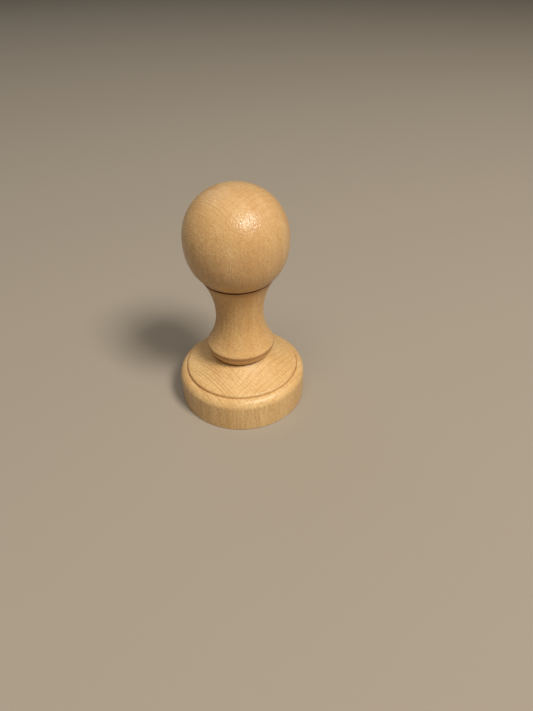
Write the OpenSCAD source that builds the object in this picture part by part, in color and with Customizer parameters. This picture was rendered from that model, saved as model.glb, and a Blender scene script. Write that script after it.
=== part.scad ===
// Turned wooden pawn: a ball head on a waisted stem with a flared foot, standing on a moulded disc.
// Three turned pieces, joined on the axis by two glued dowels.
// Origin: centre of the underside. +Z is up, along the turning axis.

/* [Base] */
// Diameter of the base disc
base_d = 40; // [36:0.5:50]
// Height of the upright side wall
wall_h = 8.1; // [4:0.1:9]
// Radius of the rounded shoulder above the side wall
shoulder_r = 2.9; // [2.7:0.1:4]
// How far the small step stands in from the side wall
step_in = 2.5; // [1.5:0.1:2.6]
// Height of the step above the shoulder
step_h = 0.8; // [0.6:0.1:1.5]
// Width and depth of the quirk, the fine groove at the foot of the step
quirk = 0.35; // [0.2:0.05:0.5]
// Height of the seat that the stem's foot stands on
seat_z = 16.4; // [15:0.1:18]
// Diameter of that seat
seat_d = 16.8; // [15:0.2:18]
// Radius of the hollow that rises from the step to the seat
rise_r = 22; // [12:0.5:60]

/* [Stem] */
// Height where the head sits on the stem
joint_z = 43; // [40:0.1:46]
// Diameter of the stem's top rim
rim_d = 21.2; // [18:0.1:22]
// Diameter of the waist, the thinnest place
waist_d = 14.4; // [12:0.1:16]
// Height of the waist
waist_z = 30.8; // [28:0.1:34]
// Diameter of the flared foot
foot_d = 20.8; // [19:0.1:22]
// Height of the foot's edge above the seat
foot_h = 4; // [3.5:0.1:5]

/* [Head] */
// Diameter of the ball, across
ball_d = 29.7; // [26:0.1:40]
// Height of the ball's widest place
ball_z = 54.7; // [52:0.1:58]
// Height of the whole pawn
total_h = 69.4; // [66:0.1:80]
// Roundness of the ball's upper half: 2 is an ellipse, more is squarer
power_top = 2.1; // [2:0.01:2.4]
// Roundness of the ball's lower half
power_low = 2.22; // [2:0.01:2.4]
// Diameter of the ball's lip, where the groove under it starts
lip_d = 21.6; // [20:0.1:24]
// Depth of the groove between the head and the stem's rim
groove_depth = 0.6; // [0.3:0.1:1.2]
// Height of that groove
groove_h = 0.6; // [0.3:0.05:1]

/* [Dowels] */
// Diameter of both dowels
dowel_d = 6; // [5:0.5:6]
// Glue gap around a dowel, on the radius
dowel_gap = 0.05; // [0.02:0.01:0.2]
// Length of a dowel
dowel_l = 18; // [14:0.5:20]
// Empty space left past each end of a dowel
end_gap = 0.5; // [0.2:0.1:2]
// Number of glue flutes round a dowel
flutes = 10; // [6:1:16]

/* [Hidden] */
$fn = 96;
// Side of the small bevels: under the base, on the step, and at the dowels' ends
edge = 0.4;
// How far a dowel reaches into the lower piece, as a share of its length
low_share = 0.5;
// Points along each half of the ball's outline
ball_points = 40;
// Points along each arc of the stem and base
arc_points = 16;
// Width of a glue flute, and how far its centre lies outside the dowel
flute_d = 0.8;
flute_out = 0.2;
// How far a cut runs past the face that it opens
over = 1;
bore_d = dowel_d + 2 * dowel_gap;
dowel_r = dowel_d / 2;
base_r = base_d / 2;
step_r = base_r - step_in;
seat_r = seat_d / 2;
foot_z = seat_z + foot_h;
rim_r = rim_d / 2;
waist_r = waist_d / 2;
foot_r = foot_d / 2;
ball_r = ball_d / 2;
lip_r = lip_d / 2;
// The shoulder's arc stops at the quirk
shoulder_x = base_r - shoulder_r;
shoulder_a = acos((step_r + quirk - shoulder_x) / shoulder_r);
shoulder_z = wall_h + shoulder_r * sin(shoulder_a);
step_z = shoulder_z + step_h;

// Points on an arc about (cx, cz), from angle a0 to angle a1, counted from +X
function arc(cx, cz, r, a0, a1, n) =
    [for (i = [0 : n]) let (a = a0 + (a1 - a0) * i / n) [cx + r * cos(a), cz + r * sin(a)]];

// Points on the shorter arc of radius r from p to q, without p, sagging to the left of p-q
function hollow(p, q, r, n) =
    let (d = q - p, half = norm(d) / 2, a = asin(half / r), lean = atan2(d[1], d[0]),
         mid = (p + q) / 2, c = mid + r * cos(a) * [d[1], -d[0]] / norm(d))
    [for (i = [1 : n]) let (t = lean + 90 + a - 2 * a * i / n) c + r * [cos(t), sin(t)]];

// Radius of an arc that leaves the waist upright and ends this far along the axis and out from it
function cove_radius(along, out) = (pow(along, 2) + pow(out, 2)) / (2 * out);

// Turning an outline drawn in x (radius) and y (height)
module turned() { rotate_extrude() children(); }

// A blind dowel bore on the axis, from z0 to z1
module bore(z0, z1) { translate([0, 0, z0]) cylinder(d = bore_d, h = z1 - z0); }

// Where the lower dowel and the upper dowel start
base_dowel_z = seat_z - dowel_l * low_share;
head_dowel_z = joint_z - dowel_l * low_share;

// The rise starts on the bevel just inside the step
rise_start = [step_r - edge, step_z];

module base() {
    color([0.84, 0.66, 0.44])
    difference() {
        turned() polygon(concat(
            [[0, 0], [base_r - edge, 0], [base_r, edge]],
            arc(shoulder_x, wall_h, shoulder_r, 0, shoulder_a, arc_points),
            [[step_r, shoulder_z - quirk], [step_r, step_z - edge], rise_start],
            hollow(rise_start, [seat_r, seat_z], rise_r, arc_points),
            [[0, seat_z]]));
        bore(base_dowel_z - end_gap, seat_z + over);
    }
}

// The roll under the foot is one arc, from the seat's rim up and out to the foot's edge
roll_out = foot_r - seat_r;
roll_r = (pow(foot_h, 2) + pow(roll_out, 2)) / (2 * roll_out);
roll_a = asin(foot_h / roll_r);
// The lower cove runs from the waist down to the foot's edge, and the upper one up to the rim
flare_drop = waist_z - foot_z;
low_cove_r = cove_radius(flare_drop, foot_r - waist_r);
rim_rise = joint_z - waist_z;
top_cove_r = cove_radius(rim_rise, rim_r - waist_r);

module stem() {
    low_a = asin(flare_drop / low_cove_r);
    top_a = asin(rim_rise / top_cove_r);
    color([0.82, 0.64, 0.42])
    difference() {
        turned() polygon(concat(
            [[0, seat_z]],
            arc(foot_r - roll_r, foot_z, roll_r, -roll_a, 0, arc_points),
            arc(waist_r + low_cove_r, waist_z, low_cove_r, 180 + low_a, 180, arc_points),
            arc(waist_r + top_cove_r, waist_z, top_cove_r, 180, 180 - top_a, arc_points),
            [[0, joint_z]]));
        bore(seat_z - over, base_dowel_z + dowel_l + end_gap);
        bore(head_dowel_z - end_gap, joint_z + over);
    }
}

// The ball's outline is two half superellipses, and its lower one is cut off at the groove
cut_z = joint_z + groove_h;
cut_share = pow(1 - pow(lip_r / ball_r, power_low), 1 / power_low);
low_half_h = (ball_z - cut_z) / cut_share;
top_half_h = total_h - ball_z;
// Angle of the lower outline's parameter at the cut
cut_angle = asin(pow(cut_share, power_low / 2));

// A point on a half outline of this height and roundness; t is 0 at the ball's widest place
function ball_point(t, half_h, power) =
    [ball_r * pow(cos(t), 2 / power), ball_z + half_h * pow(sin(t), 2 / power)];

module head() {
    color([0.85, 0.67, 0.45])
    difference() {
        turned() polygon(concat(
            [[0, joint_z], [rim_r - groove_depth, joint_z]],
            [for (i = [0 : ball_points - 1])
                ball_point(cut_angle * (1 - i / ball_points), -low_half_h, power_low)],
            [for (i = [0 : ball_points - 1])
                ball_point(90 * i / ball_points, top_half_h, power_top)],
            [[0, total_h]]));
        bore(joint_z - over, head_dowel_z + dowel_l + end_gap);
    }
}

// One fluted dowel with bevelled ends, standing at height z
module dowel(z) {
    color([0.88, 0.74, 0.54])
    translate([0, 0, z])
    difference() {
        turned() polygon([
            [0, 0], [dowel_r - edge, 0], [dowel_r, edge],
            [dowel_r, dowel_l - edge], [dowel_r - edge, dowel_l], [0, dowel_l]]);
        for (i = [0 : flutes - 1])
            rotate(360 * i / flutes)
                translate([dowel_r + flute_out, 0, -over])
                    cylinder(d = flute_d, h = dowel_l + 2 * over, $fn = 24);
    }
}

module head_dowel() { dowel(head_dowel_z); }

module base_dowel() { dowel(base_dowel_z); }

head();
stem();
base();
head_dowel();
base_dowel();
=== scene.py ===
"""Looks for the turned wooden pawn: ball head, waisted stem and moulded base, in satin beech.

The scene is in metres, in the CAD model's frame: +Z is the turning axis, and the table is at z = 0.
The pawn's own sizes are in mm, and MM turns them into metres.
"""

import math

import bpy
from mathutils import Matrix, Vector


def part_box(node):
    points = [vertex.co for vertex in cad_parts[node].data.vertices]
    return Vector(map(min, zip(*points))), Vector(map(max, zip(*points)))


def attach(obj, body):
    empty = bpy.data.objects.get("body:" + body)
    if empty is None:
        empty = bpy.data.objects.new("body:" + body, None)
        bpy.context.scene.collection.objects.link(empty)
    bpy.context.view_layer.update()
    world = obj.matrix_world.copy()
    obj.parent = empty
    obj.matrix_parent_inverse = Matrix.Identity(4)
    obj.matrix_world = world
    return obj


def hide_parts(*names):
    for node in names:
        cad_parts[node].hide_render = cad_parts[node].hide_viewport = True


MM = 0.001

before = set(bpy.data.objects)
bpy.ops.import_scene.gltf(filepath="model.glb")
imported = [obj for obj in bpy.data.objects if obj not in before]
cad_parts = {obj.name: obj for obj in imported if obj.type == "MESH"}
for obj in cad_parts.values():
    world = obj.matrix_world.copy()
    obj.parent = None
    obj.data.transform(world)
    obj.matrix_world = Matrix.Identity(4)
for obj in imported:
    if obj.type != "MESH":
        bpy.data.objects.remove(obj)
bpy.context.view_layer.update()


# ---------------------------------------------------------------- camera, floor and light

CAMERA_AT = Vector((7.95, -134.47, 120.93)) * MM
CAMERA_PITCH = math.radians(38.67)  # looking down from level
CAMERA_ROLL = math.radians(-0.66)
SENSOR_MM = 36.0
LENS_MM = 27.04


def add_camera():
    """The camera at the photograph's viewing angle."""
    data = bpy.data.cameras.new("camera")
    data.sensor_width = SENSOR_MM
    data.lens = LENS_MM
    data.clip_start = 0.01
    camera = bpy.data.objects.new("camera", data)
    tilt = Matrix.Rotation(math.pi / 2 - CAMERA_PITCH, 4, "X")
    roll = Matrix.Rotation(CAMERA_ROLL, 4, "Z")
    camera.matrix_world = Matrix.Translation(CAMERA_AT) @ tilt @ roll
    bpy.context.scene.collection.objects.link(camera)
    bpy.context.scene.camera = camera


def add_light(name, direction, distance, size, power, colour, shine=True):
    """A square area light that shines on the pawn from a direction, with or without a highlight."""
    data = bpy.data.lights.new(name, "AREA")
    data.size = size
    data.energy = power
    data.color = colour
    lamp = bpy.data.objects.new(name, data)
    aim = Vector((0, 0, 0.035))
    outward = Vector(direction).normalized()
    lamp.location = aim + outward * distance
    lamp.rotation_euler = outward.to_track_quat("Z", "Y").to_euler()
    lamp.visible_glossy = shine
    bpy.context.scene.collection.objects.link(lamp)


def add_studio():
    """A plain pale floor and soft light: a key at the right, broad light above, and a cool glow behind."""
    bpy.ops.mesh.primitive_plane_add(size=6.0)
    floor = bpy.context.object
    floor.name = "floor"
    paint = bpy.data.materials.new("floor_paint")
    paint.use_nodes = True
    shader = paint.node_tree.nodes["Principled BSDF"]
    shader.inputs["Base Color"].default_value = (0.33, 0.28, 0.22, 1)
    shader.inputs["Roughness"].default_value = 0.9
    floor.data.materials.append(paint)

    add_light("key", (0.435, -0.420, 0.797), 1.20, 0.32, 14.3, (1.0, 0.96, 0.88))
    add_light("above", (-0.08, -0.31, 0.95), 1.40, 0.80, 7.4, (1.0, 0.96, 0.90), shine=False)
    add_light("wall", (-0.38, 0.62, 0.69), 1.40, 1.00, 1.7, (0.70, 0.84, 1.0))

    world = bpy.data.worlds.new("studio")
    world.use_nodes = True
    sky = world.node_tree.nodes["Background"]
    sky.inputs["Color"].default_value = (1.0, 0.90, 0.78, 1)
    sky.inputs["Strength"].default_value = 0.09
    bpy.context.scene.world = world
    bpy.context.scene.view_settings.view_transform = "Standard"


# ---------------------------------------------------------------- turned shapes

SEGMENTS = 240  # round the axis
ARC_STEPS = 24  # along the shoulder, and along the roll under the foot
RISE_STEPS = 30
COVE_STEPS = 32
BALL_LOW_STEPS = 60
BALL_TOP_STEPS = 70
EASE_STEPS = 6
SHARP_ANGLE = math.radians(32)  # steeper edges than this stay crisp


def arc(centre_x, centre_z, radius, start, end, steps):
    """Points on an arc, with its angles in degrees counted from +X."""
    angles = [math.radians(start + (end - start) * i / steps) for i in range(steps + 1)]
    return [(centre_x + radius * math.cos(a), centre_z + radius * math.sin(a)) for a in angles]


def eased(before, corner, after, radius):
    """The points that round off a corner of an outline, using under half of each side."""
    b, c, a = Vector(before), Vector(corner), Vector(after)
    to_b, to_a = (b - c).normalized(), (a - c).normalized()
    half = to_b.angle(to_a) / 2
    reach = min(radius / math.tan(half), (b - c).length * 0.49, (a - c).length * 0.49)
    start, end = c + to_b * reach, c + to_a * reach
    points = []
    for i in range(EASE_STEPS + 1):
        t = i / EASE_STEPS
        points.append(tuple(start * (1 - t) ** 2 + c * 2 * t * (1 - t) + end * t * t))
    return points


def with_eased_corners(outline, corners):
    """The outline with some corners rounded: corners maps a point's index to its radius."""
    points = []
    for i, point in enumerate(outline):
        if i in corners:
            points += eased(outline[i - 1], point, outline[i + 1], corners[i])
        else:
            points.append(tuple(point))
    return points


def turned(name, outline, shade_marks):
    """A closed mesh that turns an outline (radius, height), in mm, round the axis.

    The outline starts and ends on the axis and runs counter-clockwise, up the outside.
    Each shade mark is (radius, height, reach, depth of the painted shade), and goes into a mesh attribute:
    painted shade that darkens the colour round that place.
    """
    verts, faces = [], []
    rings = []
    for radius, height in outline:
        if radius < 1e-6:
            rings.append([len(verts)] * SEGMENTS)
            verts.append((0, 0, height * MM))
            continue
        rings.append(list(range(len(verts), len(verts) + SEGMENTS)))
        for i in range(SEGMENTS):
            angle = 2 * math.pi * i / SEGMENTS
            verts.append((radius * MM * math.cos(angle), radius * MM * math.sin(angle), height * MM))
    for low, high in zip(rings, rings[1:]):
        for i in range(SEGMENTS):
            j = (i + 1) % SEGMENTS
            corners = [low[i], low[j], high[j], high[i]]
            face = list(dict.fromkeys(corners))
            if len(face) > 2:
                faces.append(face)
    mesh = bpy.data.meshes.new(name)
    mesh.from_pydata(verts, [], faces)
    # painted shade: near each mark the colour is darkened, by up to its depth
    shade_paint = mesh.attributes.new("painted_shade", "FLOAT", "POINT")
    for vert, value in zip(mesh.vertices, shade_paint.data):
        radius, height = math.hypot(vert.co.x, vert.co.y) / MM, vert.co.z / MM
        for at_radius, at_height, reach, depth in shade_marks:
            away = math.hypot(radius - at_radius, height - at_height)
            value.value = max(value.value, depth * max(0.0, 1 - away / reach))
    mesh.shade_smooth()
    mesh.set_sharp_from_angle(angle=SHARP_ANGLE)
    piece = bpy.data.objects.new(name, mesh)
    bpy.context.scene.collection.objects.link(piece)
    return piece


def node_heights(node):
    """A node's lowest and highest point, in mm."""
    low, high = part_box(node)
    return low.z / MM, high.z / MM


def node_radius(node):
    """A round node's radius, in mm."""
    low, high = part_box(node)
    return (high.x - low.x) / 2 / MM


# room round a dowel and past its ends, as in the CAD model, in mm
DOWEL_GAP = 0.05
END_GAP = 0.5

# read from the frame, in mm
SEAT_Z, JOINT_Z = node_heights("stem")
TOTAL_H = node_heights("head")[1]
BASE_R = node_radius("base")
BALL_R = node_radius("head")
BORE_R = node_radius("base_dowel") + DOWEL_GAP
BASE_BORE_Z = node_heights("base_dowel")[0] - END_GAP
STEM_BORE_LOW_Z = node_heights("base_dowel")[1] + END_GAP
STEM_BORE_HIGH_Z = node_heights("head_dowel")[0] - END_GAP
HEAD_BORE_Z = node_heights("head_dowel")[1] + END_GAP

# the CAD model's other driving sizes, in mm
WALL_H = 8.1
SHOULDER_R = 2.9
STEP_R = 17.5
STEP_H = 0.8
QUIRK = 0.35
SEAT_R = 8.4
RISE_R = 22.0

RIM_R = 10.6
WAIST_R = 7.2
WAIST_Z = 30.8
FOOT_R = 10.4
FOOT_H = 4.0

BALL_Z = 54.7
POWER_TOP = 2.1
POWER_LOW = 2.22
LIP_R = 10.8
GROOVE_DEPTH = 0.6
GROOVE_H = 0.6

# how round the worn corners are, in mm
BOTTOM_EASE = 0.35
SHOULDER_EASE = 0.1
QUIRK_EASE = 0.08
BEAD_EASE = 0.6
FOOT_EASE = 0.9
RIM_EASE = 0.12
LIP_EASE = 0.15
RIM_LAND = 0.3  # flat left inside the rim


def hollow(start, end, radius, steps):
    """Points on the shorter arc from start to end, which sags to the left of the way there."""
    p, q = Vector(start), Vector(end)
    chord = q - p
    right = Vector((chord.y, -chord.x)).normalized()
    half = math.degrees(math.asin(chord.length / 2 / radius))
    centre = (p + q) / 2 + right * radius * math.cos(math.radians(half))
    lean = math.degrees(math.atan2(-right.y, -right.x))
    return arc(centre.x, centre.y, radius, lean + half, lean - half, steps)


def cove(along, out, start, end):
    """Points on an arc that leaves the waist upright.

    along and out are how far the arc runs from the waist, along the axis and out from it.
    start and end are shares of its whole turn: start counts down from the waist, and end up from it.
    """
    radius = (along ** 2 + out ** 2) / (2 * out)
    lean = math.degrees(math.asin(along / radius))
    return arc(WAIST_R + radius, WAIST_Z, radius, 180 + start * lean, 180 - end * lean, COVE_STEPS)


def base_shoulder_z():
    """The height of the shoulder where it meets the quirk."""
    reach = STEP_R + QUIRK - (BASE_R - SHOULDER_R)
    return WALL_H + math.sqrt(SHOULDER_R ** 2 - reach ** 2)


def base_outline():
    centre = BASE_R - SHOULDER_R
    shoulder_z = base_shoulder_z()
    stop = math.degrees(math.asin((shoulder_z - WALL_H) / SHOULDER_R))
    shoulder = arc(centre, WALL_H, SHOULDER_R, 0, stop, ARC_STEPS)
    quirk = [(STEP_R, shoulder_z - QUIRK)]
    slope = hollow((STEP_R, shoulder_z + STEP_H), (SEAT_R, SEAT_Z), RISE_R, RISE_STEPS)
    del slope[1:4]  # room for the bead on the step's corner
    inside = [(BORE_R, SEAT_Z), (BORE_R, BASE_BORE_Z), (0, BASE_BORE_Z)]
    outline = [(0, 0), (BASE_R, 0)] + shoulder + quirk + slope + inside
    lip = 1 + len(shoulder)
    corners = {1: BOTTOM_EASE, lip: SHOULDER_EASE, lip + 1: QUIRK_EASE, lip + 2: BEAD_EASE}
    return with_eased_corners(outline, corners)


def stem_outline():
    foot_z = SEAT_Z + FOOT_H
    roll_out = FOOT_R - SEAT_R
    roll_r = (FOOT_H ** 2 + roll_out ** 2) / (2 * roll_out)
    under = math.degrees(math.asin(FOOT_H / roll_r))
    inside = [(0, STEM_BORE_LOW_Z), (BORE_R, STEM_BORE_LOW_Z), (BORE_R, SEAT_Z)]
    roll = arc(FOOT_R - roll_r, foot_z, roll_r, -under, 0, ARC_STEPS)
    del roll[-4:-1]  # room for the foot's soft edge
    flare = cove(WAIST_Z - foot_z, FOOT_R - WAIST_R, 1, 0)[2:]
    neck = cove(JOINT_Z - WAIST_Z, RIM_R - WAIST_R, 0, 1)[1:]
    top = [(RIM_R - RIM_LAND, JOINT_Z), (BORE_R, JOINT_Z)]
    top += [(BORE_R, STEM_BORE_HIGH_Z), (0, STEM_BORE_HIGH_Z)]
    outline = inside + roll + flare + neck + top
    edge = len(inside) + len(roll) - 1
    rim = edge + len(flare) + len(neck)
    return with_eased_corners(outline, {edge: FOOT_EASE, rim: RIM_EASE})


def half_ball(start, end, half_h, power, steps):
    """Points on a half superellipse about the ball's widest place, between two angles in degrees.

    The point at the end angle is left out.
    """
    points = []
    for i in range(steps):
        t = math.radians(start + (end - start) * i / steps)
        across = math.cos(t) ** (2 / power)
        points.append((BALL_R * across, BALL_Z + half_h * math.sin(t) ** (2 / power)))
    return points


def head_outline():
    cut_z = JOINT_Z + GROOVE_H
    cut_share = (1 - (LIP_R / BALL_R) ** POWER_LOW) ** (1 / POWER_LOW)
    cut_angle = math.degrees(math.asin(cut_share ** (POWER_LOW / 2)))
    low_half_h = (BALL_Z - cut_z) / cut_share
    low = half_ball(cut_angle, 0, -low_half_h, POWER_LOW, BALL_LOW_STEPS)
    high = half_ball(0, 90, TOTAL_H - BALL_Z, POWER_TOP, BALL_TOP_STEPS)
    inside = [(0, HEAD_BORE_Z), (BORE_R, HEAD_BORE_Z), (BORE_R, JOINT_Z)]
    groove = [(RIM_R - GROOVE_DEPTH, JOINT_Z)]
    outline = inside + groove + low + high + [(0, TOTAL_H)]
    return with_eased_corners(outline, {len(inside) + len(groove): LIP_EASE})


# ---------------------------------------------------------------- beech

class Nodes:
    """A short way to add a material's nodes and link them."""

    def __init__(self, material):
        material.use_nodes = True
        self.tree = material.node_tree
        self.shader = self.tree.nodes["Principled BSDF"]

    def add(self, kind, **settings):
        node = self.tree.nodes.new(kind)
        for key, value in settings.items():
            setattr(node, key, value)
        return node

    def put(self, socket, value):
        if isinstance(value, bpy.types.NodeSocket):
            self.tree.links.new(value, socket)
        elif isinstance(value, tuple) and len(value) == 3 and socket.type == "RGBA":
            socket.default_value = (*value, 1)
        else:
            socket.default_value = value

    def math(self, operation, a, b=0.0, c=0.0):
        node = self.add("ShaderNodeMath", operation=operation)
        for socket, value in zip(node.inputs, (a, b, c)):
            self.put(socket, value)
        return node.outputs[0]

    def range(self, value, low, high, to_low=0.0, to_high=1.0):
        """A smooth step from to_low, where the value is low, to to_high, where it is high."""
        node = self.add("ShaderNodeMapRange", interpolation_type="SMOOTHSTEP")
        for i, v in enumerate((value, low, high, to_low, to_high)):
            self.put(node.inputs[i], v)
        return node.outputs[0]

    def split(self, vector):
        node = self.add("ShaderNodeSeparateXYZ")
        self.put(node.inputs[0], vector)
        return node.outputs

    def join(self, x, y, z):
        node = self.add("ShaderNodeCombineXYZ")
        for socket, value in zip(node.inputs, (x, y, z)):
            self.put(socket, value)
        return node.outputs[0]

    def noise(self, vector, sizes, detail=2.0, roughness=0.5):
        """Smooth noise whose blobs are about as big as sizes, in the vector's units."""
        scaled = self.add("ShaderNodeVectorMath", operation="DIVIDE")
        self.put(scaled.inputs[0], vector)
        self.put(scaled.inputs[1], sizes)
        node = self.add("ShaderNodeTexNoise")
        self.put(node.inputs["Vector"], scaled.outputs[0])
        self.put(node.inputs["Scale"], 1.0)
        self.put(node.inputs["Detail"], detail)
        self.put(node.inputs["Roughness"], roughness)
        return node.outputs["Fac"]

    def mix(self, share, a, b):
        """Colour a, with this share of colour b."""
        node = self.add("ShaderNodeMix", data_type="RGBA")
        self.put(node.inputs[0], share)
        self.put(node.inputs[6], a)
        self.put(node.inputs[7], b)
        return node.outputs[2]

    def bump(self, height, distance):
        node = self.add("ShaderNodeBump")
        self.put(node.inputs["Height"], height)
        self.put(node.inputs["Distance"], distance)
        self.put(node.inputs["Strength"], 1.0)
        return node.outputs[0]


PITH_MM = 75.0  # from the turning axis to the tree's centre
RING_MM = 1.5  # one year's growth
RAY_GAP_MM = 0.85  # from one wide ray to the next
RELIEF_MM = 0.11  # the height of the fine bumps
THIN_COAT = 0.3  # the share of the coat left on open end grain

LATE_WOOD = (0.42, 0.22, 0.08)
RAY_BROWN = (0.40, 0.19, 0.065)
FIBRE_BROWN = (0.46, 0.24, 0.09)
PORE_BROWN = (0.36, 0.18, 0.07)
# painted shade: the brown that darkens the creases, under the foot's edge and where the parts meet
PAINTED_SHADE_BROWN = (0.26, 0.095, 0.03)


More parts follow.
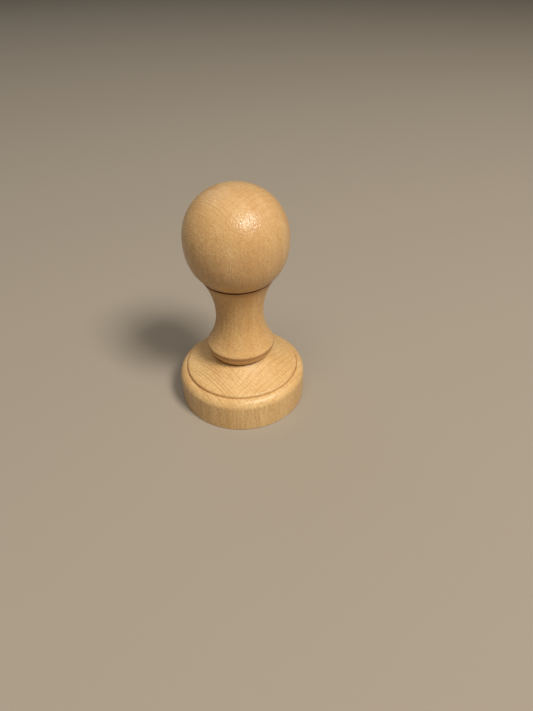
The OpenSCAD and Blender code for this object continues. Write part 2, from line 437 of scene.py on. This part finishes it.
def beech(name, turn, shift, light, dark, figure=1.0, gloss=0.0, dull_within=0.0):
    """Straight-grained beech, solid right through, with its fibres along the turning axis.

    turn is the angle of the rays seen from above, and shift moves the piece in its plank, in mm.
    figure is how strongly the wide rays show, and gloss is the finish's coat; 0 is bare wood.
    Nearer the axis than dull_within, in mm, the coat is thin, as on open end grain.
    """
    material = bpy.data.materials.new(name)
    n = Nodes(material)

    here = n.add("ShaderNodeTexCoord").outputs["Object"]
    place = n.add("ShaderNodeMapping")
    n.put(place.inputs["Vector"], here)
    place.inputs["Scale"].default_value = (1 / MM, 1 / MM, 1 / MM)
    place.inputs["Rotation"].default_value = (0, 0, turn)
    place.inputs["Location"].default_value = shift
    plank = place.outputs[0]
    x, y, z = n.split(plank)

    # round and out from the tree's centre, with a slow wander
    wander = n.noise(plank, (16, 16, 60), 1.0)
    sway = n.noise(n.join(y, z, x), (12, 80, 16), 1.0)
    away = n.math("ADD", x, PITH_MM)
    out = n.math("SQRT", n.math("ADD", n.math("MULTIPLY", away, away), n.math("MULTIPLY", y, y)))
    out = n.math("MULTIPLY_ADD", wander, 2.4, out)
    around = n.math("MULTIPLY", n.math("ARCTAN2", y, away), PITH_MM)
    around = n.math("MULTIPLY_ADD", sway, 0.4, around)
    grain = n.join(around, out, z)

    # end grain shows where the surface faces up or down
    normal = n.split(n.add("ShaderNodeNewGeometry").outputs["Normal"])
    end = n.range(n.math("ABSOLUTE", normal[2]), 0.35, 0.90)
    # rays show more on one side of the piece, and rings on the other
    side = n.range(n.split(here)[0], -9 * MM, 8 * MM)

    tone = n.noise(grain, (5, 7, 70), 2.0)
    colour = n.mix(n.range(tone, 0.3, 0.7), light, dark)

    # growth rings: slowly darker through the year, then a sharp line
    year = n.math("FRACT", n.math("DIVIDE", out, RING_MM))
    late = n.math("POWER", year, 4.0)
    late = n.math("MULTIPLY", late, n.range(year, 1.0, 0.94))
    breaks = n.range(n.noise(grain, (3.0, 1.2, 30.0), 2.0), 0.30, 0.60, 0.25, 1.0)
    late = n.math("MULTIPLY", late, n.range(end, 0, 1, 0.30, 1.0))
    late = n.math("MULTIPLY", late, n.math("MULTIPLY", breaks, n.range(side, 0, 1, 0.20, 0.62)))
    colour = n.mix(late, colour, LATE_WOOD)

    # rays: thin upright sheets that run out from the tree's centre
    drift = n.noise(grain, (2.2, 30.0, 18.0), 1.0)
    row = n.math("FRACT", n.math("MULTIPLY_ADD", drift, 0.8, n.math("DIVIDE", around, RAY_GAP_MM)))
    middle = n.math("ABSOLUTE", n.math("SUBTRACT", row, 0.5))
    sheets = n.range(middle, 0.07, 0.22, 1.0, 0.0)
    patchy = n.range(n.noise(grain, (1.1, 12.0, 9.0), 1.0), 0.38, 0.62, 0.12, 1.0)
    plain = n.math("MULTIPLY", n.range(end, 0, 1, 0.22, 1.0), n.range(side, 0, 1, 0.62, 0.30))
    sheets = n.math("MULTIPLY", n.math("MULTIPLY", sheets, patchy), n.math("MULTIPLY", plain, figure))
    flecks = n.range(n.noise(grain, (0.21, 1.4, 0.85), 1.0), 0.44, 0.66)
    flecks = n.math("MULTIPLY", flecks, n.range(end, 0, 1, 0.36, 0.24))
    rays = n.math("MAXIMUM", sheets, flecks)
    colour = n.mix(rays, colour, RAY_BROWN)

    fibre = n.noise(plank, (0.36, 0.36, 9.0), 3.0, 0.7)
    colour = n.mix(n.range(fibre, 0.38, 0.66, 0.0, 0.44), colour, FIBRE_BROWN)

    pores = n.range(n.noise(plank, (0.16, 0.16, 2.0), 1.0), 0.58, 0.70)
    pores = n.math("MULTIPLY", pores, end)
    colour = n.mix(n.math("MULTIPLY", pores, 0.26), colour, PORE_BROWN)

    # painted shade: the colour darkens in the creases, under the foot's edge and where the parts meet
    painted_shade = n.add("ShaderNodeAttribute", attribute_name="painted_shade").outputs["Fac"]
    colour = n.mix(painted_shade, colour, PAINTED_SHADE_BROWN)

    n.put(n.shader.inputs["Base Color"], colour)
    pitting = n.noise(plank, (0.45, 0.45, 0.60), 2.0, 0.6)
    relief = n.math("MULTIPLY_ADD", rays, -0.35, n.math("MULTIPLY", fibre, 0.3))
    relief = n.math("ADD", pitting, relief)
    bumpy = n.bump(relief, RELIEF_MM * MM)
    n.put(n.shader.inputs["Normal"], bumpy)
    n.put(n.shader.inputs["Coat Normal"], bumpy)
    shine = (0.38, 0.52) if gloss else (0.60, 0.75)
    rough = n.range(fibre, 0.3, 0.7, *shine)
    n.put(n.shader.inputs["Roughness"], n.math("MULTIPLY_ADD", pores, 0.3, rough))
    if gloss:
        n.shader.inputs["Specular IOR Level"].default_value = 0.28
        n.shader.inputs["Coat Weight"].default_value = gloss
        n.shader.inputs["Coat Roughness"].default_value = 0.18
    if dull_within:
        from_axis = n.add("ShaderNodeVectorMath", operation="LENGTH")
        across = n.split(here)
        n.put(from_axis.inputs[0], n.join(across[0], across[1], 0.0))
        edge = (dull_within - 0.5) * MM, dull_within * MM
        coat = n.range(from_axis.outputs["Value"], *edge, gloss * THIN_COAT, gloss)
        n.put(n.shader.inputs["Coat Weight"], coat)
    return material


HEAD_BEECH = (0.69, 0.455, 0.210), (0.62, 0.370, 0.155)  # each is a light and a dark tone
STEM_BEECH = (0.74, 0.480, 0.210), (0.66, 0.390, 0.150)
BASE_BEECH = (0.79, 0.540, 0.245), (0.72, 0.450, 0.185)
BARE_BEECH = (0.75, 0.560, 0.340), (0.66, 0.460, 0.260)
RAY_TURN = math.radians(38)
DOWEL_TURN = 0.4  # radians


def dress(piece, node, material):
    """Puts a turned piece in place of its CAD node."""
    piece.data.materials.append(material)
    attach(piece, "root")
    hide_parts(node)


def add_pawn():
    # where shade is painted into the colour: radius, height, reach, depth of the painted shade
    groove = (RIM_R - GROOVE_DEPTH, JOINT_Z, 1.9, 0.65)
    contact_shadow = (SEAT_R, SEAT_Z, 0.8, 0.6)
    shadow_under_edge = (FOOT_R, SEAT_Z + FOOT_H - 0.7, 0.8, 0.8)
    quirk = (STEP_R, base_shoulder_z() - QUIRK, 0.55, 0.35)
    head = turned("ball_head", head_outline(), [groove])
    stem = turned("waisted_stem", stem_outline(), [groove, shadow_under_edge, contact_shadow])
    base = turned("moulded_base", base_outline(), [quirk, contact_shadow])
    head_wood = beech("head_wood", RAY_TURN, (0, 0, 0), *HEAD_BEECH, figure=0.75, gloss=0.50)
    stem_wood = beech("stem_wood", RAY_TURN, (1, 2, 30), *STEM_BEECH, figure=0.6, gloss=0.25)
    base_wood = beech("base_wood", RAY_TURN, (0, 0, 90), *BASE_BEECH, gloss=0.42, dull_within=STEP_R - 0.5)
    dress(head, "head", head_wood)
    dress(stem, "stem", stem_wood)
    dress(base, "base", base_wood)
    bare = beech("dowel_wood", DOWEL_TURN, (8, 5, 0), *BARE_BEECH)
    for node in ("head_dowel", "base_dowel"):
        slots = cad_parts[node].data.materials
        slots.clear()
        slots.append(bare)


add_camera()
add_studio()
add_pawn()
